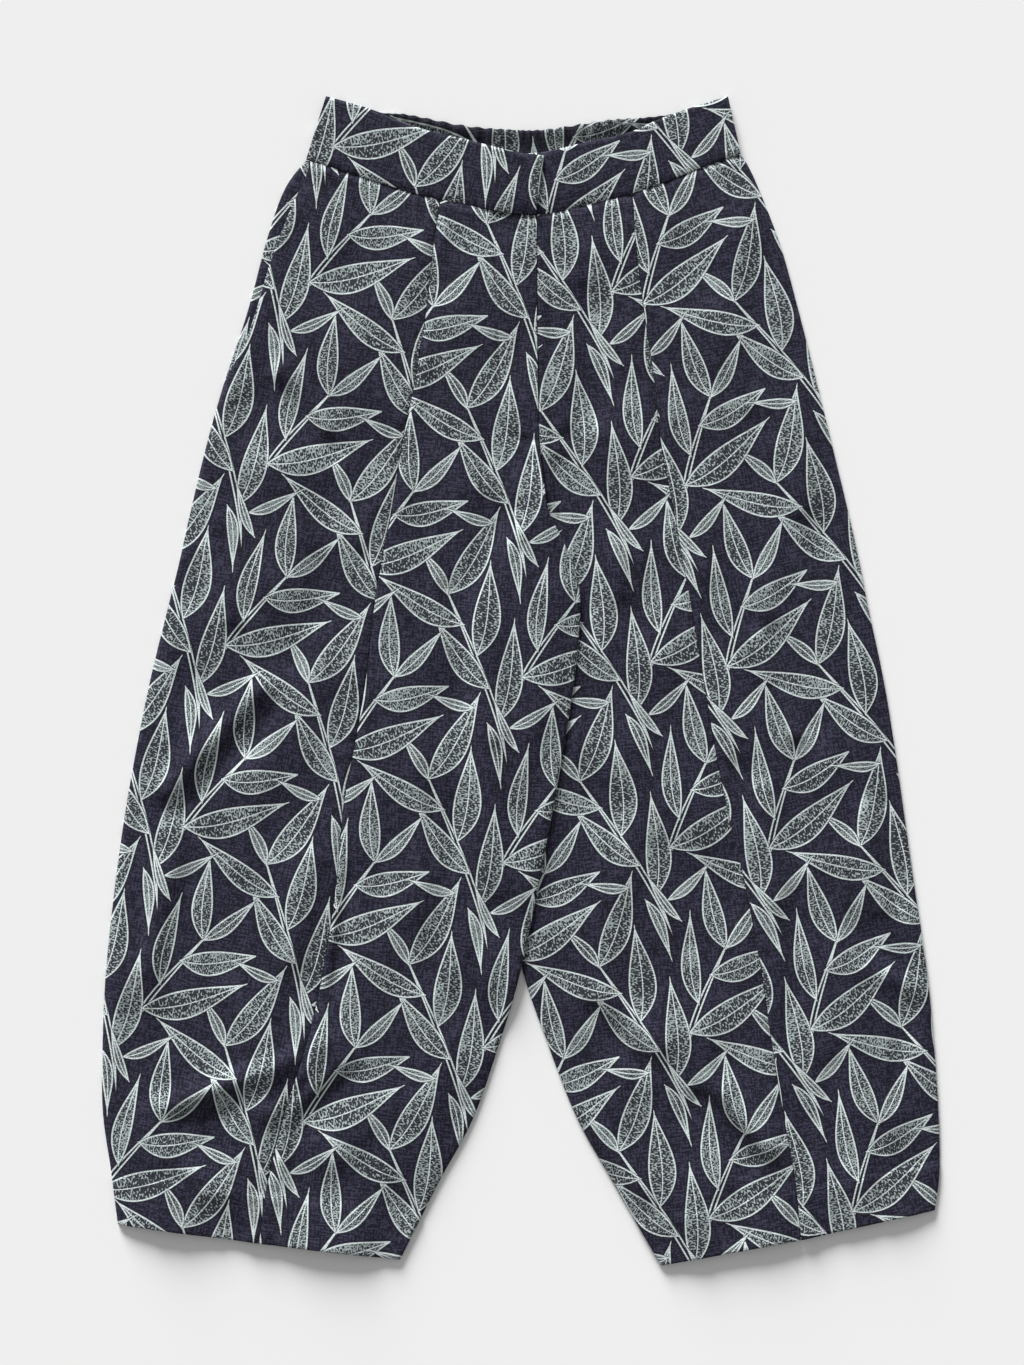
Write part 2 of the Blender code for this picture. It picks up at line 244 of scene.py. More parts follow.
print(len(FOLDS), "folds that the packed model has too")

# %% The smaller creases
CREASES = leg_folds([
    (-221, 503, -300, 588, 2.0, 11),
    (-214, 524, -294, 607, -1.3, 11),
    (-196, 819, -300, 856, 1.9, 10),
    (-188, 839, -286, 873, -1.2, 10),
    (-150, 821, -200, 866, 1.3, 9),
    (-150, 664, -160, 752, -1.5, 10),
    (-176, 650, -190, 730, 1.1, 12),
    (-203, 234, -166, 282, 1.6, 10),
    (-194, 252, -158, 302, -1.3, 10),
    (-112, 362, -128, 392, -1.2, 12),
    (-266, 386, -246, 442, 1.4, 11),
    (-254, 380, -232, 434, -1.1, 11),
    (-60, 180, -36, 330, 0.9, 12),
    (-60, 420, -44, 560, -1.0, 10),
    (-36, 430, -20, 540, 1.0, 11),
    (-300, 660, -316, 742, 1.2, 13),
    (-282, 664, -300, 746, -1.0, 11),
    (-20, 690, -62, 786, -1.0, 11),
    (-250, 760, -226, 806, 1.1, 12),
    (-116, 500, -88, 560, 0.9, 14),
    (8, 296, 20, 346, -1.1, 8),
    (-300, 900, -258, 930, 1.0, 11),
    (-330, 780, -300, 850, -0.9, 12),
], [
    (196, 462, 231, 540, 1.8, 10),
    (216, 456, 250, 532, -1.4, 10),
    (180, 576, 192, 686, -1.3, 11),
    (204, 590, 216, 680, 1.0, 12),
    (292, 610, 306, 686, 1.5, 11),
    (310, 604, 322, 680, -1.1, 10),
    (296, 742, 344, 760, 1.3, 10),
    (40, 292, 58, 430, -1.5, 11),
    (64, 290, 84, 420, 1.2, 12),
    (70, 762, 116, 806, 1.2, 11),
    (60, 778, 104, 824, -1.0, 10),
    (56, 170, 62, 270, -0.9, 12),
    (170, 180, 196, 260, 1.0, 12),
    (120, 640, 146, 720, -0.9, 12),
    (260, 828, 272, 900, -1.0, 11),
    (214, 300, 236, 350, 1.1, 11),
    (156, 856, 192, 902, -1.5, 10),
    (172, 848, 208, 892, 1.5, 9),
    (34, 330, 54, 450, -1.1, 13),
    (20, 130, 26, 290, -0.7, 10),
    (60, 880, 100, 930, 0.9, 11),
    (330, 780, 316, 850, -0.9, 11),
])
print(len(CREASES), "creases that only the cloth here has")

# %% Heights of the layers
WALL = 1.6
STACK_GAP = 0.4  # between two layers that lie on each other
FRONT_BASE = 2 * WALL + STACK_GAP
FULLNESS = 2.6  # how far the front of a leg stands off the back in mid leg
FULLNESS_REACH = 55.0  # from an edge of the leg to its full height
CROTCH_FADE = 60.0  # below the crotch the inner edges sink to the back
WAIST_LIFT = 0.9
WAIST_ROWS = 2.5  # sections over which that lift turns into the fullness
LEG_GAP = 0.9  # between the two legs where one lies on the other
CLIMB_REACH = 38.0  # the right leg starts to climb this far outside the left one
CLIMB_WIDTH = 34.0
CLIMB_DROP = 276.0
CLIMB_LENGTH = 74.0
POCKET_LIFT = 1.6
POCKET_REACH = 46.0  # width over which the right front lies on the facing
POCKET_FOOT = 270.0
FLY_WIDTH = 30.0
FLY_FOOT = 313.0
LIFT_FADE = 20.0  # the pocket's lift and the fly's step both fade out over this


def fold_height(folds, leg, x, drop):
    """The folds of one leg, summed."""
    height = np.zeros_like(x)
    for fold in folds:
        if fold.leg != leg:
            continue
        run_x = fold.end_x - fold.start_x
        run_drop = fold.end_drop - fold.start_drop
        share = ((x - fold.start_x) * run_x + (drop - fold.start_drop) * run_drop) / (
            run_x * run_x + run_drop * run_drop
        )
        near = np.clip(share, 0.0, 1.0)
        away = np.hypot(x - fold.start_x - near * run_x, drop - fold.start_drop - near * run_drop)
        height += fold.height * np.exp(-((away / fold.half_width) ** 2))
    return height


def fullness(leg, x, drop, row):
    """How far the front of a leg stands off the back."""
    above_crotch = 1.0 - soft_step((drop - CROTCH) / CROTCH_FADE)
    from_side = np.abs(x - outer_at[leg](drop))
    from_inner = np.abs(x - inner_at[leg](drop)) + FULLNESS_REACH * above_crotch
    room = soft_step(np.minimum(from_side, from_inner) / FULLNESS_REACH)
    below_waist = soft_step(row / WAIST_ROWS)
    stand = (FULLNESS + fold_height(FOLDS, leg, x, drop)) * room * below_waist
    return np.maximum(stand, 0.0) + WAIST_LIFT * (1.0 - below_waist)


def climb(x, drop, row):
    """How far the right leg is lifted where its inner side lies on the left leg."""
    onto_left = soft_step((x - inner_at["left"](drop) + CLIMB_REACH) / CLIMB_WIDTH)
    low_enough = soft_step((drop - CLIMB_DROP) / CLIMB_LENGTH)
    return (FRONT_BASE + fullness("left", x, drop, row) + LEG_GAP) * onto_left * low_enough


def pocket_lift(x, drop):
    """The right front lies on the pocket facing along its side edge."""
    near_side = soft_step((POCKET_REACH - x + outer_at["right"](drop)) / LIFT_FADE)
    return POCKET_LIFT * near_side * soft_step((POCKET_FOOT - drop) / LIFT_FADE)


def fly_step(x, drop):
    """The right front laps over the left at the fly."""
    from_centre = inner_at["right"](drop) - x
    return soft_step(1.0 - from_centre / FLY_WIDTH) * soft_step((FLY_FOOT - drop) / LIFT_FADE)


def front_height(leg, x, drop, row):
    """Upper face of the front of a leg, without the creases."""
    stand = fullness(leg, x, drop, row)
    if leg == "right":
        stand = np.maximum(stand, pocket_lift(x, drop)) + fly_step(x, drop)
    return FRONT_BASE + stand


mid_leg = [np.array([number]) for number in (180.0, 600.0, 11.0)]
print("front of the left leg in mid leg:", round(float(front_height("left", *mid_leg)[0]), 2), "mm")


# %% [markdown]
# ## The printed cloth
#
# The cloth is a navy cotton chambray, printed with leafy branches in pale grey green. A picture
# could be laid on it, but nodes stay sharp at any size and each leaf can be moved. Each leaf is a
# sum: in its own coordinates, x runs from 0 at the stalk to 1 at the tip and y from -1 to 1 across
# it, and `x (1 - x) (1.45 - x)` gives a width that is largest near the stalk. The sum also says how
# far a point is inside the outline, so it draws the outline and thins out the dashes of the fill.
# Two branches are drawn in a cell, and the cells repeat in columns, each half a repeat higher than
# the last, as a half-drop repeat does on real cloth.

# %% Two branches and their leaves
REPEAT_WIDE = 146.0
REPEAT_HIGH = 158.0
Leaf = namedtuple("Leaf", "x y turn length half_width bend")
STEMS = [
    Leaf(53.9, 104.3, 115.7, 151.2, 1.9, 2.4),
    Leaf(53.2, 146.5, 63.6, 109.8, 1.9, -2.0),
]
LEAVES = [
    Leaf(44.6, 131.9, 86.5, 84.0, 10.4, 0.42),
    Leaf(33.7, 0.9, 134.1, 70.0, 9.6, -0.40),
    Leaf(21.0, 27.2, 87.5, 78.0, 11.2, 0.34),
    Leaf(6.7, 52.6, 156.5, 80.0, 9.4, -0.46),
    Leaf(136.8, 156.1, 64.6, 82.0, 11.0, 0.40),
    Leaf(136.8, 156.1, 126.6, 42.0, 4.6, 0.30),
    Leaf(61.3, 13.3, 25.7, 88.0, 11.6, 0.44),
    Leaf(71.7, 37.2, 89.6, 74.0, 7.6, -0.50),
    Leaf(84.5, 60.0, 16.4, 64.0, 9.8, 0.42),
    Leaf(99.4, 81.4, 98.5, 68.0, 8.4, -0.40),
    Leaf(99.4, 81.4, 49.6, 54.0, 5.6, 0.45),
    Leaf(55.2, 127.3, 35.2, 45.0, 4.2, 0.60),
    Leaf(36.5, 128.5, 287.9, 50.0, 4.4, -0.60),
    Leaf(23.0, 141.2, 169.7, 37.0, 4.0, -0.50),
    Leaf(63.6, 109.1, 121.2, 45.0, 3.2, -0.60),
]


def copies_in_cell(leaves):
    """The leaves that reach into one cell: its own, and the overhang of its neighbours."""
    found = []
    for leaf in leaves:
        turn = math.radians(leaf.turn)
        share = np.array([0.0, 0.25, 0.25, 0.5, 0.5, 0.75, 0.75, 1.0])
        aside = np.array([0, -1, 1, -1, 1, -1, 1, 0]) * leaf.half_width * (1.0 + abs(leaf.bend))
        x = leaf.x + leaf.length * share * math.cos(turn) + aside * math.sin(turn)
        y = leaf.y + leaf.length * share * math.sin(turn) - aside * math.cos(turn)
        for column in (-1, 0, 1):
            for row in (-2, -1, 0, 1, 2):
                shift_x = column * REPEAT_WIDE
                shift_y = row * REPEAT_HIGH + column * REPEAT_HIGH / 2.0
                across = -x.max() < shift_x < REPEAT_WIDE - x.min()
                down = -y.max() < shift_y < REPEAT_HIGH - y.min()
                if across and down:
                    found.append(leaf._replace(x=leaf.x + shift_x, y=leaf.y + shift_y))
    return found


print("leaves in a cell:", len(copies_in_cell(LEAVES)), "stems:", len(copies_in_cell(STEMS)))


# %% Helpers that wire a material
def calc(tree, operation, *values):
    """A Math node: numbers are typed in, sockets are linked."""
    node = tree.nodes.new("ShaderNodeMath")
    node.operation = operation
    for socket, value in zip(node.inputs, values):
        if isinstance(value, (int, float)):
            socket.default_value = value
        else:
            tree.links.new(value, socket)
    return node.outputs[0]


def between(tree, value, low, high, low_to=0.0, high_to=1.0):
    """A soft step of a value between two limits."""
    node = tree.nodes.new("ShaderNodeMapRange")
    node.interpolation_type = "SMOOTHSTEP"
    tree.links.new(value, node.inputs["Value"])
    node.inputs["From Min"].default_value = low
    node.inputs["From Max"].default_value = high
    node.inputs["To Min"].default_value = low_to
    node.inputs["To Max"].default_value = high_to
    return node.outputs["Result"]


def mix_colour(tree, share, first, second, blend="MIX"):
    """Two colours mixed: a tuple is typed in, a socket is linked."""
    node = tree.nodes.new("ShaderNodeMix")
    node.data_type = "RGBA"
    node.blend_type = blend
    for number, value in ((0, share), (6, first), (7, second)):
        socket = node.inputs[number]
        if isinstance(value, (int, float)):
            socket.default_value = value
        elif isinstance(value, tuple):
            socket.default_value = (*value, 1.0)
        else:
            tree.links.new(value, socket)
    return node.outputs[2]


def grain_noise(tree, vector, across, down, detail=2.0):
    """Noise stretched along one thread direction."""
    place = tree.nodes.new("ShaderNodeMapping")
    place.inputs["Scale"].default_value = (across, down, 1.0)
    tree.links.new(vector, place.inputs["Vector"])
    cloud = tree.nodes.new("ShaderNodeTexNoise")
    cloud.noise_dimensions = "2D"
    cloud.inputs["Scale"].default_value = 1.0
    cloud.inputs["Detail"].default_value = detail
    tree.links.new(place.outputs["Vector"], cloud.inputs["Vector"])
    return cloud.outputs["Fac"]


def leaf_distance(tree, cell, leaf):
    """How far inside a leaf a point is, and how far from its midrib, in millimetres."""
    local = tree.nodes.new("ShaderNodeMapping")
    local.vector_type = "TEXTURE"
    local.inputs["Location"].default_value = (leaf.x, leaf.y, 0.0)
    local.inputs["Rotation"].default_value = (0.0, 0.0, math.radians(leaf.turn))
    local.inputs["Scale"].default_value = (leaf.length, leaf.half_width, 1.0)
    tree.links.new(cell, local.inputs["Vector"])
    parts = tree.nodes.new("ShaderNodeSeparateXYZ")
    tree.links.new(local.outputs["Vector"], parts.inputs["Vector"])
    x, y = parts.outputs["X"], parts.outputs["Y"]
    narrowing = calc(tree, "MAXIMUM", calc(tree, "SUBTRACT", 1.45, x), 0.4)
    round_ends = calc(tree, "MULTIPLY", x, calc(tree, "SUBTRACT", 1.0, x))
    belly = calc(tree, "MULTIPLY", round_ends, narrowing)
    bowed = calc(tree, "ABSOLUTE", calc(tree, "MULTIPLY_ADD", belly, 4.0 * leaf.bend, y))
    inside = calc(tree, "MULTIPLY_ADD", bowed, -0.25, belly)
    depth = calc(tree, "MULTIPLY", inside, 3.3 * leaf.half_width)
    return local.outputs["Vector"], depth, calc(tree, "MULTIPLY", bowed, leaf.half_width)


def lay_over(tree, mask, below, above, data_type="FLOAT"):
    """What a later leaf covers is hidden: a masked mix of two numbers or two vectors."""
    if isinstance(below, float) and data_type == "VECTOR":
        return above
    node = tree.nodes.new("ShaderNodeMix")
    node.data_type = data_type
    first, second = (2, 3) if data_type == "FLOAT" else (4, 5)
    tree.links.new(mask, node.inputs[0])
    if isinstance(below, float):
        node.inputs[first].default_value = below
    else:
        tree.links.new(below, node.inputs[first])
    tree.links.new(above, node.inputs[second])
    return node.outputs[0 if data_type == "FLOAT" else 1]


# %% Where a point lies on the cloth and in the repeat
def cloth_coordinates(tree):
    """The piece's own cloth coordinates in millimetres: as a vector, and as two numbers."""
    where = tree.nodes.new("ShaderNodeUVMap")
    where.uv_map = "cloth"
    metres = tree.nodes.new("ShaderNodeSeparateXYZ")
    tree.links.new(where.outputs["UV"], metres.inputs["Vector"])
    across = calc(tree, "MULTIPLY", metres.outputs["X"], 1000.0)
    down = calc(tree, "MULTIPLY", metres.outputs["Y"], 1000.0)
    flat = tree.nodes.new("ShaderNodeCombineXYZ")
    tree.links.new(across, flat.inputs["X"])
    tree.links.new(down, flat.inputs["Y"])
    return flat.outputs["Vector"], across, down


def half_drop_cell(tree, across, down):
    """The place in one repeat: each column starts half a repeat higher than the last."""
    column = calc(tree, "FLOOR", calc(tree, "DIVIDE", across, REPEAT_WIDE))
    dropped = calc(tree, "MULTIPLY_ADD", column, -REPEAT_HIGH / 2.0, down)
    cell = tree.nodes.new("ShaderNodeCombineXYZ")
    tree.links.new(calc(tree, "WRAP", across, REPEAT_WIDE, 0.0), cell.inputs["X"])
    tree.links.new(calc(tree, "WRAP", dropped, REPEAT_HIGH, 0.0), cell.inputs["Y"])
    return cell.outputs["Vector"]


# %% The leaves of one repeat, laid over each other
FAR = 99.0
OUTLINE_INSET = 0.1
PRINT_RIM = -0.9  # a leaf hides what lies below it out to here, mm outside its outline


def printed_leaves(tree, cell):
    """Distance from a printed line, depth in a leaf, depth in any print, place on the leaf."""
    from_line, depth, print_edge, own = FAR, -FAR, -FAR, FAR
    stems = copies_in_cell(STEMS)
    for leaf in stems + copies_in_cell(LEAVES):
        local, inside, from_rib = leaf_distance(tree, cell, leaf)
        from_outline = calc(tree, "ABSOLUTE", calc(tree, "SUBTRACT", inside, OUTLINE_INSET))
        if leaf not in stems:
            from_outline = calc(tree, "MINIMUM", from_outline, calc(tree, "ADD", from_rib, 0.1))
        mask = calc(tree, "GREATER_THAN", inside, PRINT_RIM)
        from_line = lay_over(tree, mask, from_line, from_outline)
        own = lay_over(tree, mask, own, local, "VECTOR")
        print_edge = inside if print_edge == -FAR else calc(tree, "MAXIMUM", print_edge, inside)
        if leaf not in stems:
            depth = lay_over(tree, mask, depth, inside)
    return from_line, depth, print_edge, own


# %% The fill of the leaves and the weave
LINE_EDGE = (0.72, 0.34)  # a line fades in between these distances from its middle, mm
DASHES = (60.0, 4.4, 0.4)  # noise cells along a leaf and across half of it, and their detail
SPARSE = (0.535, 0.600)  # share of the noise left bare, at the outline and in the middle
SPARSE_DEPTH = 9.0
FILL_EDGE = 0.5
SLUB_LONG = 0.09  # noise cells per mm along a thread, and across it
SLUB_WIDE = 0.72
SLUB = (1.36, 1.72)


def leaf_fill(tree, cloth, own, depth):
    """Short dashes that run out from the midrib, paler near the outline."""
    dashes = grain_noise(tree, own, *DASHES)
    sparse = between(tree, depth, 1.0, SPARSE_DEPTH, *SPARSE)
    tone = calc(tree, "MULTIPLY_ADD", grain_noise(tree, cloth, 0.03, 0.03), 0.40, -0.20)
    over_sparse = calc(tree, "ADD", calc(tree, "SUBTRACT", dashes, sparse), tone)
    dashed = between(tree, over_sparse, -0.04, 0.04)
    return calc(tree, "MULTIPLY", dashed, between(tree, depth, 0.0, FILL_EDGE))


def weave(tree, cloth):
    """Slubs along both thread directions, and an even grain."""
    warp = grain_noise(tree, cloth, SLUB_WIDE, SLUB_LONG)
    weft = grain_noise(tree, cloth, SLUB_LONG, SLUB_WIDE)
    grain = grain_noise(tree, cloth, 0.50, 0.50, 2.0)
    threads = calc(tree, "ADD", calc(tree, "ADD", warp, weft), grain)
    return between(tree, threads, *SLUB)


# %% The printed cloth as a material
NAVY = (0.0050, 0.0050, 0.0155)
NAVY_LIGHT = (0.0350, 0.0325, 0.0600)
NAVY_RIM = (0.007, 0.007, 0.015)
PRINT_LINE = (0.585, 0.650, 0.650)
PRINT_FILL = (0.320, 0.370, 0.370)
RIM_REACH = -2.6  # how far outside a leaf the dark rim of the print ends, mm
RIM_STRENGTH = 0.75
LEAF_TINT = 0.05
# Painted shade: the inner face of the back waistband gets the same cloth made darker, standing in
# for the shade of the open waist.
INSIDE_PAINTED_SHADE = 0.68


def printed_cloth(name, shade=1.0):
    """Navy cotton with the leaf print, read from the piece's own cloth coordinates."""
    material = bpy.data.materials.new(name)
    material.use_nodes = True
    tree = material.node_tree
    shader = tree.nodes["Principled BSDF"]
    cloth, across, down = cloth_coordinates(tree)
    cell = half_drop_cell(tree, across, down)
    from_line, depth, print_edge, own = printed_leaves(tree, cell)
    slub = weave(tree, cloth)

    # From below: threads, the dark rim round the print, the leaf's tint, its fill, its lines.
    colour = mix_colour(tree, slub, NAVY, NAVY_LIGHT)
    rim = between(tree, print_edge, RIM_REACH, PRINT_RIM)
    colour = mix_colour(tree, calc(tree, "MULTIPLY", rim, RIM_STRENGTH), colour, NAVY_RIM)
    tint = between(tree, depth, 0.0, FILL_EDGE, 0.0, LEAF_TINT)
    colour = mix_colour(tree, tint, colour, PRINT_FILL)
    colour = mix_colour(tree, leaf_fill(tree, cloth, own, depth), colour, PRINT_FILL)
    colour = mix_colour(tree, between(tree, from_line, *LINE_EDGE), colour, PRINT_LINE)
    # Painted shade: a shade below 1 darkens the whole colour, for cloth that lies in shadow.
    if shade != 1.0:
        colour = mix_colour(tree, 1.0, colour, (shade, shade, shade), "MULTIPLY")
    tree.links.new(colour, shader.inputs["Base Color"])

    # Matt, with a little cotton sheen and the fine relief of the weave.
    shader.inputs["Roughness"].default_value = 0.88
    shader.inputs["Sheen Weight"].default_value = 0.05
    shader.inputs["Specular IOR Level"].default_value = 0.25
    relief = tree.nodes.new("ShaderNodeBump")
    relief.inputs["Strength"].default_value = 0.5
    relief.inputs["Distance"].default_value = 0.0003
    tree.links.new(slub, relief.inputs["Height"])
    tree.links.new(relief.outputs["Normal"], shader.inputs["Normal"])
    print(name, "has", len(tree.nodes), "nodes")
    return material


leaf_cotton = printed_cloth("leaf_print_cotton")
leaf_cotton_painted_shade = printed_cloth("leaf_print_cotton_painted_shade", shade=INSIDE_PAINTED_SHADE)

# %% [markdown]
# ## A panel of cloth
#
# A panel starts as a flat grid, one vertex every few millimetres. Each vertex is moved to its place
# on the pattern piece and lifted to the height of the layer there. Its edges come next: a panel
# seam pulls the cloth down into a narrow valley, and an outer edge rolls down to meet the back of
# the leg. Last, the grid gets a real thickness, as cloth has two faces. A cloth simulation would
# drape it too, but it would also blur the outline that the pattern pieces give.


# %% Build a grid and give it thickness
RIM = 0.35  # widest rounding of a cut edge, mm, and its largest share of the thickness


def grid_piece(name, columns, rows, shape):
    """A sheet as a grid. shape(u, v) gives x, drop and height in mm for arrays of u and v."""
    bpy.ops.object.select_all(action="DESELECT")
    bpy.ops.mesh.primitive_grid_add(x_subdivisions=columns, y_subdivisions=rows, size=2.0)
    piece = bpy.context.object
    piece.name = name
    piece.data.name = name
    spots = np.empty(len(piece.data.vertices) * 3)
    piece.data.vertices.foreach_get("co", spots)
    spots = spots.reshape(-1, 3)
    column = np.rint((spots[:, 0] + 1.0) / 2.0 * columns).astype(int)
    row = np.rint((1.0 - spots[:, 1]) / 2.0 * rows).astype(int)
    v, u = np.meshgrid(np.arange(rows + 1) / rows, np.arange(columns + 1) / columns, indexing="ij")
    x, drop, height = shape(u, v)
    spots[:, 0] = x[row, column] * MM
    spots[:, 1] = (LENGTH / 2.0 - drop[row, column]) * MM
    spots[:, 2] = height[row, column] * MM
    piece.data.vertices.foreach_set("co", spots.ravel())
    piece.data.update()
    return piece


def lay_grain(piece, turn, across, down):
    """Cloth coordinates in metres, turned to the grain of the panel and shifted on the print."""
    layer = piece.data.uv_layers[0]
    layer.name = "cloth"
    corners = np.empty(len(piece.data.loops), dtype=int)
    piece.data.loops.foreach_get("vertex_index", corners)
    spots = np.empty(len(piece.data.vertices) * 3)
    piece.data.vertices.foreach_get("co", spots)
    x, y = spots.reshape(-1, 3)[corners, 0], spots.reshape(-1, 3)[corners, 1]
    turn = math.radians(turn)
    u = x * math.cos(turn) + y * math.sin(turn) + across * MM
    v = -x * math.sin(turn) + y * math.cos(turn) + down * MM
    layer.data.foreach_set("uv", np.column_stack((u, v)).ravel())


def give_thickness(piece, thickness, material):
    """Solidify downwards, round the rim a little and shade it smooth."""
    bpy.ops.object.select_all(action="DESELECT")
    piece.select_set(True)
    bpy.context.view_layer.objects.active = piece
    wall = piece.modifiers.new("thickness", "SOLIDIFY")
    wall.thickness = thickness * MM
    wall.offset = -1.0
    bpy.ops.object.modifier_apply(modifier="thickness")
    rim = piece.modifiers.new("rim", "BEVEL")
    rim.width = min(RIM, thickness * RIM) * MM
    rim.segments = 2
    rim.limit_method = "ANGLE"
    rim.angle_limit = math.radians(55.0)
    bpy.ops.object.modifier_apply(modifier="rim")
    bpy.ops.object.shade_smooth_by_angle(angle=math.radians(60.0))
    piece.data.materials.clear()
    piece.data.materials.append(material)


def dress(piece, node):
    """Hang the piece on the root, hide the part of the frame that it stands for, and print its
    size.
    """
    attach(piece, "root")
    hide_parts(node)
    faces = sum(len(face.vertices) - 2 for face in piece.data.polygons)
    area = sum(face.area for face in piece.data.polygons)
    size = np.array([corner[:2] for corner in piece.bound_box])
    print(f"{piece.name}: {faces} triangles, {area:.4f} m2 all round, "
          f"{np.ptp(size[:, 0]):.3f} x {np.ptp(size[:, 1]):.3f} m")


# %% Edges, seams and small unevenness
def run_lengths(x, drop, axis):
    """Distance along the rows or columns of a grid from its first and from its last line."""
    step = np.hypot(np.diff(x, axis=axis), np.diff(drop, axis=axis))
    start = np.insert(np.cumsum(step, axis=axis), 0, 0.0, axis=axis)
    total = np.take(start, [-1], axis=axis)
    return start, total - start


def seam_valley(distance, depth=0.7, half_width=2.6):
    """A narrow valley at a seam, with the low ridge of its pressed allowance beside it."""
    ridge = 0.22 * np.exp(-(((distance - 7.0) / 3.6) ** 2))
    return ridge - depth * np.exp(-((distance / half_width) ** 2))


def rolled(height, foot, distance, radius):
    """An edge that rolls down to a foot height, on a quarter of an ellipse."""
    near = np.clip(distance / radius, 0.0, 1.0)
    share = np.sqrt(1.0 - (1.0 - near) ** 2)
    return foot + (height - foot) * share


def puckers(run, distance, height, length, reach, seed):
    """Short uneven ripples that stand off a line of stitches."""
    swell = 0.6 + 0.4 * np.sin(run / (length * 2.7) + seed)
    wave = np.sin(2.0 * np.pi * run / length + 1.3 * np.sin(run / (length * 1.9) + seed))
    return height * wave * swell * np.exp(-((distance / reach) ** 2))


def unevenness(x, drop, seed, size, height, stretch=1.6):
    """Soft waves of cloth that was smoothed by hand, longer down the leg than across it."""
    across, down = x.ravel() / size, drop.ravel() / (size * stretch)
    flat = [noise.noise(Vector((a, b, seed))) for a, b in zip(across, down)]
    return height * np.array(flat).reshape(x.shape)


# %% [markdown]
# ## The panels of the legs
#
# Each front is two panels, joined along a seam that runs from the waist to the hem and gives the
# leg its bowed barrel shape. The right side panel stops short of the side edge at the top: that
# edge is the pocket mouth, and the pocket facing shows outside it. The hem is turned up and
# stitched, so it is a little higher than the cloth above it. All four are made by one function,
# because they differ only in the lines that they run between.

# %% The lines of a leg panel
CLOTH = 0.8
SEAM_HALF_GAP = 0.15
WAIST_BOW_ROWS = 3.0  # sections over which the bow of the waist seam fades out
Panel = namedtuple("Panel", "node leg line_from line_to columns grain across down seed")
PANELS = [
    Panel("front_right_side", "right", "mouth", "seam", 54, -13.0, 20, 40, 1.7),
    Panel("front_right_centre", "right", "seam", "inner", 110, -6.0, 60, 10, 3.1),
    Panel("front_left_centre", "left", "inner", "seam", 60, 6.0, 96, 88, 5.9),
    Panel("front_left_side", "left", "seam", "outer", 54, 13.0, 34, 120, 8.3),
]


def leg_line(panel, name, row):
    """x and drop of a panel's edge. The mouth is the side edge, drawn in at the pocket."""
    rows = LEGS[panel.leg]
    if name == "mouth":
        x, drop = line_of(rows, "outer", row)
        return x + pocket_inset(drop), drop
    x, drop = line_of(rows, name, row)
    side = 1.0 if name == panel.line_from else -1.0
    if name != "outer":
        x = x + side * SEAM_HALF_GAP
    return x, drop


def panel_point(panel, u, row, waist=None, gap=0.1):
    """A point of a panel; its top follows the bow of the waist seam, a gap below it."""
    x0, drop0 = leg_line(panel, panel.line_from, row)
    x1, drop1 = leg_line(panel, panel.line_to, row)
    top_x0, top_drop0 = leg_line(panel, panel.line_from, np.zeros_like(row))
    top_x1, top_drop1 = leg_line(panel, panel.line_to, np.zeros_like(row))
    top_x = top_x0 + (top_x1 - top_x0) * u
    seam_drop = waist_at[waist or panel.leg](top_x)
    bow = seam_drop + gap - (top_drop0 + (top_drop1 - top_drop0) * u)
    fade = 1.0 - soft_step(row / WAIST_BOW_ROWS)
    return x0 + (x1 - x0) * u, drop0 + (drop1 - drop0) * u + bow * fade


print([panel.node for panel in PANELS])

# %% The stitched lines of the fly
FLY_J = [
    (-21.7, 104), (-20.0, 180), (-16.8, 274), (-12.3, 284),
    (-6.4, 288.5), (-1.3, 291.5), (14.5, 292),
]
FLY_INNER = [(-1.3, 104), (-1.3, 291)]


def stitched_dent(line, x, drop, depth, half_width):
    """The narrow valley that a row of stitches pulls into the cloth."""
    near = np.full_like(x, 1e3)
    for (x0, drop0), (x1, drop1) in zip(line, line[1:]):
        run_x, run_drop = x1 - x0, drop1 - drop0
        share = ((x - x0) * run_x + (drop - drop0) * run_drop) / (run_x ** 2 + run_drop ** 2)
        share = np.clip(share, 0.0, 1.0)
        near = np.minimum(near, np.hypot(x - x0 - share * run_x, drop - drop0 - share * run_drop))
    return -depth * np.exp(-((near / half_width) ** 2))


# %% The edges and the surface of a front panel
EDGE_FOOT = 1.9  # an outer edge rolls down to this height, over this radius
EDGE_ROLL = 9.0
MOUTH_FOOT = 236.0  # drop below which the pocket mouth is sewn shut
HEM = 42.0
HEM_STEP = 0.9
LOWEST_FRONT = 2.6
CREASE_STRENGTH = 2.2
FOLD_SHARPENING = 1.0
WAVES = dict(size=40.0, height=3.4)
STREAKS = dict(size=13.0, height=1.0, stretch=6.0)
CREASE_ROOM = 14.0  # creases fade out towards a seam over this, and more slowly at the waist
CREASE_ROOM_TOP = 40.0
FRONT_STEPS = 380


def finish_edge(panel, name, height, drop, distance):
    """The height of a front panel beside one of its long edges."""
    if name == "seam":
        height = height + seam_valley(distance)
        return height + puckers(drop, distance, 0.24, 15.0, 12.0, panel.seed)
    rolled_edge = rolled(height, EDGE_FOOT, distance, EDGE_ROLL)
    if name == "mouth":
        mouth_edge = rolled(height, height - 0.5, distance, 2.0)
        open_part = 1.0 - soft_step((drop - MOUTH_FOOT) / 14.0)
        return rolled_edge + (mouth_edge - rolled_edge) * open_part
    if name == "inner":
        centre_edge = height - 0.35 * np.exp(-((distance / 1.6) ** 2))
        inner_leg = soft_step((drop - CROTCH) / 26.0)
        return centre_edge + (rolled_edge - centre_edge) * inner_leg
    return rolled_edge


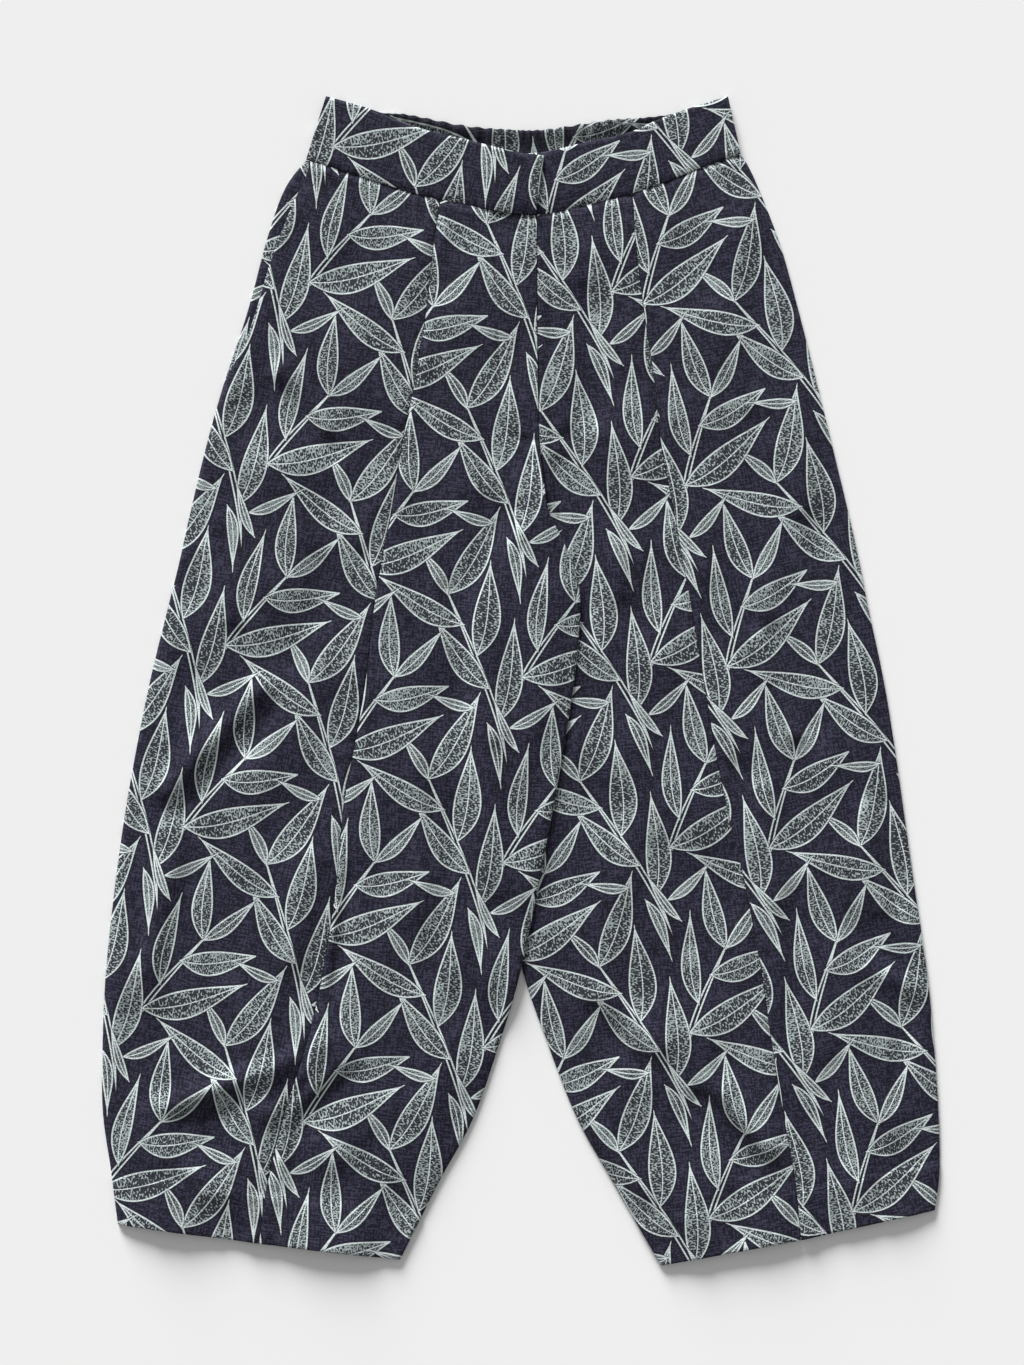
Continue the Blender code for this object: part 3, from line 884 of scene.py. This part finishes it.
def front_shape(panel):
    """The whole surface of a front panel."""
    last = len(LEGS[panel.leg]) - 1

    def shape(u, v):
        row = v * last
        x, drop = panel_point(panel, u, row)
        from_start, from_end = run_lengths(x, drop, 1)
        from_top, from_hem = run_lengths(x, drop, 0)
        height = front_height(panel.leg, x, drop, row)
        room = soft_step(np.minimum(from_start, from_end) / CREASE_ROOM)
        room = room * soft_step(from_top / CREASE_ROOM_TOP)
        if panel.leg == "left":
            room = room * soft_step((x - inner_at["right"](drop) + 4.0) / CREASE_ROOM)
        creases = CREASE_STRENGTH * fold_height(CREASES, panel.leg, x, drop)
        creases += FOLD_SHARPENING * fold_height(FOLDS, panel.leg, x, drop)
        creases += unevenness(x, drop, panel.seed, **WAVES)
        creases += unevenness(x, drop, panel.seed + 20.0, **STREAKS)
        height = np.maximum(height + creases * room, LOWEST_FRONT)

        height = finish_edge(panel, panel.line_from, height, drop, from_start)
        height = finish_edge(panel, panel.line_to, height, drop, from_end)
        if panel.node == "front_right_centre":
            fly_dents = stitched_dent(FLY_J, x, drop, 0.8, 2.3)
            height += fly_dents + stitched_dent(FLY_INNER, x, drop, 0.5, 2.2)
        height += seam_valley(from_top, 0.9, 3.0)
        height += puckers(x, from_top, 0.32, 13.0, 20.0, panel.seed + 2.0)
        hem = soft_step((HEM + 1.5 - from_hem) / 3.0)
        height += HEM_STEP * hem - 0.3 * np.exp(-(((from_hem - HEM) / 1.6) ** 2))
        height += puckers(x, from_hem - HEM, 0.24, 17.0, 16.0, panel.seed + 4.0)
        height = rolled(height, height - 0.4, from_hem, 1.6)
        if panel.leg == "right":
            height += climb(x, drop, row)
        return x, drop, height

    return shape


# %% Make the four front panels
cloth_pieces = {}
for panel in PANELS:
    piece = grid_piece(panel.node + "_cloth", panel.columns, FRONT_STEPS, front_shape(panel))
    lay_grain(piece, panel.grain, panel.across, panel.down)
    give_thickness(piece, CLOTH, leaf_cotton)
    dress(piece, panel.node)
    cloth_pieces[panel.node] = piece

# %% [markdown]
# ## The backs of the legs
#
# They lie on the table, so only their edges show. They are plain and flat: one panel a leg. The
# right one is lifted where it lies on the left leg, by the same function as the front above it.

# %% The back panels
BACK_CLOTH = 1.2
BACK_SEAM_GAP = 0.8  # the backs end this far below the seam of their waistband


def back_shape(leg):
    """The surface of a back panel."""
    last = len(LEGS[leg]) - 1
    line_from, line_to = ("outer", "inner") if leg == "right" else ("inner", "outer")
    panel = Panel("back_" + leg, leg, line_from, line_to, 0, 0, 0, 0, 0)

    def shape(u, v):
        row = v * last
        x, drop = panel_point(panel, u, row, "back", BACK_SEAM_GAP)
        height = np.full_like(x, BACK_CLOTH)
        if leg == "right":
            height += climb(x, drop, row)
        return x, drop, height

    return shape


for leg, turn in (("right", -8.0), ("left", 8.0)):
    node = "back_" + leg
    piece = grid_piece(node + "_cloth", 60, 180, back_shape(leg))
    lay_grain(piece, turn, 30, 60)
    give_thickness(piece, BACK_CLOTH, leaf_cotton)
    dress(piece, node)
    cloth_pieces[node] = piece


# %% The pocket facing
FACING_HEIGHT = 2.9
FACING_UNDER = 10.0  # how far it runs in under the front
FACING_ROWS = 4.0  # sections down to the foot of the pocket mouth


def facing_shape(u, v):
    """The strip that shows outside the pocket mouth and runs in under the front."""
    row = v * FACING_ROWS
    x0, drop0 = line_of(RIGHT_ROWS, "outer", row)
    x1 = x0 + pocket_inset(drop0) + FACING_UNDER
    top_x0, top_drop0 = line_of(RIGHT_ROWS, "outer", np.zeros_like(row))
    top_x = top_x0 + (float(pocket_inset(54)) + FACING_UNDER) * u
    bow = waist_at["right"](top_x) + 0.1 - top_drop0
    x = x0 + (x1 - x0) * u
    drop = drop0 + bow * (1.0 - soft_step(row / WAIST_BOW_ROWS))
    from_side, _ = run_lengths(x, drop, 1)
    from_top, _ = run_lengths(x, drop, 0)
    height = rolled(np.full_like(x, FACING_HEIGHT), 2.0, from_side, 5.0)
    return x, drop, height + seam_valley(from_top, 0.4, 2.0)


piece = grid_piece("pocket_facing_right_cloth", 12, 90, facing_shape)
lay_grain(piece, -12.0, 70, 20)
give_thickness(piece, CLOTH, leaf_cotton)
dress(piece, "pocket_facing_right")
cloth_pieces["pocket_facing_right"] = piece

# %% [markdown]
# ## The waistband
#
# The front of the waistband is cloth folded double, so it is thick and its free edge is round. Its
# right half ends in a square tab that lies over the left half. The back of the waistband holds the
# elastic: its cloth is gathered into short uneven ridges, and its inner face shows in the open
# waist. Array copies of one ridge would be alike, so waves that wander along the band make them.

# %% The front waistbands
BAND_TOP = 5.0
BAND_CLOTH = 1.9
TAB_RAISE = 3.4  # the tab climbs onto the left half over this width, from this x on
TAB_FROM = -44.0
TAB_WIDTH = 26.0


def band_point(stations, u, v):
    """A point of a waistband, u along it and v from its free edge to its seam."""
    place = u * (len(stations) - 1)
    top_x, top_drop, foot_x, foot_drop = (along(stations, column, place) for column in range(4))
    return top_x * (1 - v) + foot_x * v, top_drop * (1 - v) + foot_drop * v


def front_band_shape(stations, tab):
    """The surface of one half of the front waistband."""

    def shape(u, v):
        x, drop = band_point(stations, u, v)
        from_start, from_end = run_lengths(x, drop, 1)
        from_top, from_foot = run_lengths(x, drop, 0)
        height = np.full_like(x, BAND_TOP) + unevenness(x, drop, 12.0, 40.0, 0.35)
        if tab:
            height += TAB_RAISE * soft_step((x - TAB_FROM) / TAB_WIDTH)
            height = rolled(height, height - 0.8, from_end, 2.4)
        ridge = 0.25 * np.exp(-(((from_foot - 5.0) / 3.0) ** 2))
        height += ridge - 0.5 * np.exp(-((from_foot / 2.0) ** 2))
        height += puckers(x, from_foot, 0.25, 12.0, 12.0, 1.0)
        near_centre = np.exp(-(((x - 5.0) / 80.0) ** 2))
        height -= 1.5 * near_centre * soft_step(1.0 - from_foot / 15.0)
        height = rolled(height, height - 1.1, from_top, 3.2)
        return x, drop, height

    return shape


for node, stations, tab, grain in (
    ("waistband_right", BAND_RIGHT, True, (-15.0, 40, 90)),
    ("waistband_left", BAND_LEFT, False, (15.0, 92, 52)),
):
    piece = grid_piece(node + "_cloth", 130, 36, front_band_shape(stations, tab))
    lay_grain(piece, *grain)
    give_thickness(piece, BAND_CLOTH, leaf_cotton)
    dress(piece, node)
    cloth_pieces[node] = piece


# %% The gathered back waistband
BACK_BAND_CLOTH = 1.1
GATHER_LENGTH = 9.4
FRONT_EDGE = np.array(BAND_RIGHT + BAND_LEFT[1:], dtype=float)


def back_band_shape(u, v):
    """The gathers are high where they show and low where the front waistband covers them."""
    x, drop = band_point(BAND_BACK, u, v)
    run = u * 360.0
    wander = 3.0 * np.sin(run / 31.0) + 2.4 * np.sin(run / 13.0 + v * 2.0)
    wave = 0.5 - 0.5 * np.cos(2.0 * np.pi * (run + wander) / GATHER_LENGTH)
    uneven = 0.70 + 0.30 * np.sin(run / 17.0 + 1.0)
    above_front = np.interp(x, FRONT_EDGE[:, 0], FRONT_EDGE[:, 1]) - drop
    in_view = (1.0 - soft_step((v - 0.02) / 0.30)) * soft_step((above_front - 0.5) / 5.0)
    from_top, _ = run_lengths(x, drop, 0)
    height = 1.25 + 1.3 * in_view + (0.45 + 1.75 * in_view) * wave * uneven
    height = rolled(height, np.maximum(height - 0.5, 1.15), from_top, 2.0)
    drop = drop - 0.9 * (wave * uneven - 0.4) * (1.0 - soft_step(v / 0.2))
    return x, drop, height


piece = grid_piece("waistband_back_cloth", 360, 24, back_band_shape)
lay_grain(piece, 3.0, 15, 75)
# The inner face of the back band takes the copy of the cloth with painted shade.
give_thickness(piece, BACK_BAND_CLOTH, leaf_cotton_painted_shade)
dress(piece, "waistband_back")
cloth_pieces["waistband_back"] = piece

# %% [markdown]
# ## Sewing thread
#
# The rows of stitches are navy on navy, so they show only as fine dents and glints: the J of the
# fly, the edge of the pocket and the hems. They could be painted on, but real threads catch the
# light. One stitch is modelled, a short thread with thin ends that sink into the cloth, and copied
# along each row into one mesh.

# %% One stitch and its thread
STITCH_LONG = 3.0
STITCH_WIDE = 0.24  # half of its width and of its height
STITCH_HIGH = 0.20
STITCH_STEP = 4.0
STITCH_RISE = 0.04
bpy.ops.object.select_all(action="DESELECT")
bpy.ops.mesh.primitive_uv_sphere_add(segments=6, ring_count=6, radius=1.0)
pattern = bpy.context.object
pattern.scale = (STITCH_LONG / 2.0 * MM, STITCH_WIDE * MM, STITCH_HIGH * MM)
bpy.ops.object.transform_apply(rotation=False, scale=True)
stitch_spots = np.array([vertex.co[:] for vertex in pattern.data.vertices])
stitch_faces = [tuple(face.vertices) for face in pattern.data.polygons]
bpy.data.objects.remove(pattern, do_unlink=True)

thread = bpy.data.materials.new("navy_thread")
thread.use_nodes = True
twist_shader = thread.node_tree.nodes["Principled BSDF"]
twist_shader.inputs["Roughness"].default_value = 0.6
where = thread.node_tree.nodes.new("ShaderNodeTexCoord")
twist = thread.node_tree.nodes.new("ShaderNodeTexNoise")
twist.inputs["Scale"].default_value = 3000.0
thread.node_tree.links.new(where.outputs["Object"], twist.inputs["Vector"])
twist_dark, twist_light = (0.004, 0.004, 0.010), (0.016, 0.016, 0.030)
tint = mix_colour(thread.node_tree, twist.outputs["Fac"], twist_dark, twist_light)
thread.node_tree.links.new(tint, twist_shader.inputs["Base Color"])
print("a stitch has", len(stitch_faces), "faces")


# %% Lay rows of stitches on the cloth
def top_of(*nodes):
    """The highest cloth surface at a point, found by dropping a plumb line on the pieces."""
    trees = []
    for node in nodes:
        mesh = cloth_pieces[node].data
        corners = [vertex.co for vertex in mesh.vertices]
        trees.append(BVHTree.FromPolygons(corners, [face.vertices for face in mesh.polygons]))

    def find(x, drop):
        start = Vector((x * MM, (LENGTH / 2.0 - drop) * MM, 0.1))
        hits = [tree.ray_cast(start, Vector((0.0, 0.0, -1.0)))[0] for tree in trees]
        heights = [hit.z for hit in hits if hit]
        return max(heights) / MM if heights else None

    return find


def sew(name, lines, find):
    """Stitches along lines of (x, drop), laid on the cloth."""
    spots, faces = [], []
    for line in lines:
        line = np.array(line, dtype=float)
        run = np.insert(np.cumsum(np.hypot(*np.diff(line, axis=0).T)), 0, 0.0)
        for place in np.arange(STITCH_STEP / 2.0, run[-1] - 1.0, STITCH_STEP):
            ends = []
            for side in (-0.5, 0.5):
                at = np.clip(place + side * STITCH_LONG, 0.0, run[-1])
                x, drop = np.interp(at, run, line[:, 0]), np.interp(at, run, line[:, 1])
                height = find(float(x), float(drop))
                if height is not None:
                    ends.append(np.array((x, LENGTH / 2.0 - drop, height)) * MM)
            if len(ends) < 2:
                continue
            forward = (ends[1] - ends[0]) / np.linalg.norm(ends[1] - ends[0])
            side = np.cross((0.0, 0.0, 1.0), forward)
            side /= np.linalg.norm(side)
            turned = np.column_stack((forward, side, np.cross(forward, side)))
            middle = (ends[0] + ends[1]) / 2.0 + np.array((0.0, 0.0, STITCH_RISE * MM))
            first = len(spots) * len(stitch_spots)
            faces += [tuple(first + corner for corner in face) for face in stitch_faces]
            spots.append(stitch_spots @ turned.T + middle)
    mesh = bpy.data.meshes.new(name)
    mesh.from_pydata(np.concatenate(spots).tolist(), [], faces)
    mesh.shade_smooth()
    row = bpy.data.objects.new(name, mesh)
    bpy.context.collection.objects.link(row)
    row.data.materials.append(thread)
    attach(row, "root")
    print(name, len(spots), "stitches,", sum(len(face) - 2 for face in faces), "triangles")


def hem_line(panel):
    """The line of a panel that lies one hem above its end."""
    v, u = np.meshgrid(np.linspace(0.85, 1.0, 120), np.linspace(0.0, 1.0, 40), indexing="ij")
    x, drop = panel_point(panel, u, v * (len(LEGS[panel.leg]) - 1))
    _, from_hem = run_lengths(x, drop, 0)
    line = []
    for column in range(x.shape[1]):
        order = np.argsort(from_hem[:, column])
        line.append((
            np.interp(HEM, from_hem[order, column], x[order, column]),
            np.interp(HEM, from_hem[order, column], drop[order, column]),
        ))
    return line


# %% The rows on the fly, the pocket and the hems
MOUTH_STITCH = 10.0  # distance of the pocket's row from its edge
TACK = [(2.5, 104), (4.5, 110), (-6.5, 113), (-18.0, 110.5)]
sew("fly_stitches", [FLY_J, FLY_INNER, TACK], top_of("front_right_centre"))
mouth_drops = np.linspace(66.0, 240.0, 40)
mouth_x = [float(outer_at["right"](d) + pocket_inset(d) + MOUTH_STITCH) for d in mouth_drops]
mouth = [(x, float(d)) for x, d in zip(mouth_x, mouth_drops)]
sew("pocket_stitches", [mouth], top_of("front_right_side"))
for leg in ("right", "left"):
    chosen = [panel for panel in PANELS if panel.leg == leg]
    find = top_of(*(panel.node for panel in chosen))
    sew(leg + "_hem_stitches", [hem_line(panel) for panel in chosen], find)

# %% [markdown]
# ## The table, the light and the camera
#
# The camera looks straight down through a long lens. One broad, low light comes from beyond the
# waist and a little from the left: it models the creases, and the hems drop a soft shadow. An even
# sky fills the rest. Area lights would do as well, but a sun lights the whole leg alike.

# %% The table
bpy.ops.object.select_all(action="DESELECT")
bpy.ops.mesh.primitive_plane_add(size=30.0, location=(0.0, 0.0, -0.0004))
floor = bpy.context.object
floor.name = "floor"
bpy.ops.object.transform_apply(location=True, rotation=True, scale=True)
floor_paint = bpy.data.materials.new("pale_table")
floor_paint.use_nodes = True
paint = floor_paint.node_tree.nodes["Principled BSDF"]
paint.inputs["Base Color"].default_value = (0.86, 0.86, 0.86, 1.0)
paint.inputs["Roughness"].default_value = 1.0
paint.inputs["Specular IOR Level"].default_value = 0.0
floor.data.materials.append(floor_paint)

print("table:", tuple(floor.dimensions)[:2], "m")

# %% The light
bpy.ops.object.light_add(type="SUN", location=(0.0, 2.0, 2.0))
sun = bpy.context.object
sun.name = "window_light"
sun.rotation_euler = (math.radians(-75.0), 0.0, math.radians(17.0))
sun.data.energy = 7.8
sun.data.angle = math.radians(24.0)

scene = bpy.context.scene
if scene.world is None:
    scene.world = bpy.data.worlds.new("studio")
scene.world.use_nodes = True
sky = scene.world.node_tree.nodes["Background"]
sky.inputs["Color"].default_value = (1.0, 1.0, 1.0, 1.0)
sky.inputs["Strength"].default_value = 0.36
scene.view_settings.view_transform = "Standard"
print("sun", round(sun.data.energy, 2), "sky", round(sky.inputs["Strength"].default_value, 2))

# %% The camera
bpy.ops.object.camera_add(location=(-0.0072, -0.0013, 2.7395), rotation=(0.0, 0.0, 0.0))
camera = bpy.context.object
camera.name = "camera"
camera.data.lens = 85.0
camera.data.sensor_width = 36.0
scene.camera = camera
print("camera", round(camera.location.z, 3), "m above the table")

# %% [markdown]
# ## Measure and finish
#
# We print the size of each piece's printed cloth and its area.

# %% Sheets, sizes and the end
for node, piece in cloth_pieces.items():
    spots = np.empty(len(piece.data.loops) * 2)
    piece.data.uv_layers["cloth"].data.foreach_get("uv", spots)
    wide, long = np.ptp(spots.reshape(-1, 2), axis=0)
    area = sum(face.area for face in piece.data.polygons) / 2.0
    area = min(area, 0.99 * wide * long)
    print(node, f"{wide:.3f} x {long:.3f} m, {area:.4f} m2")
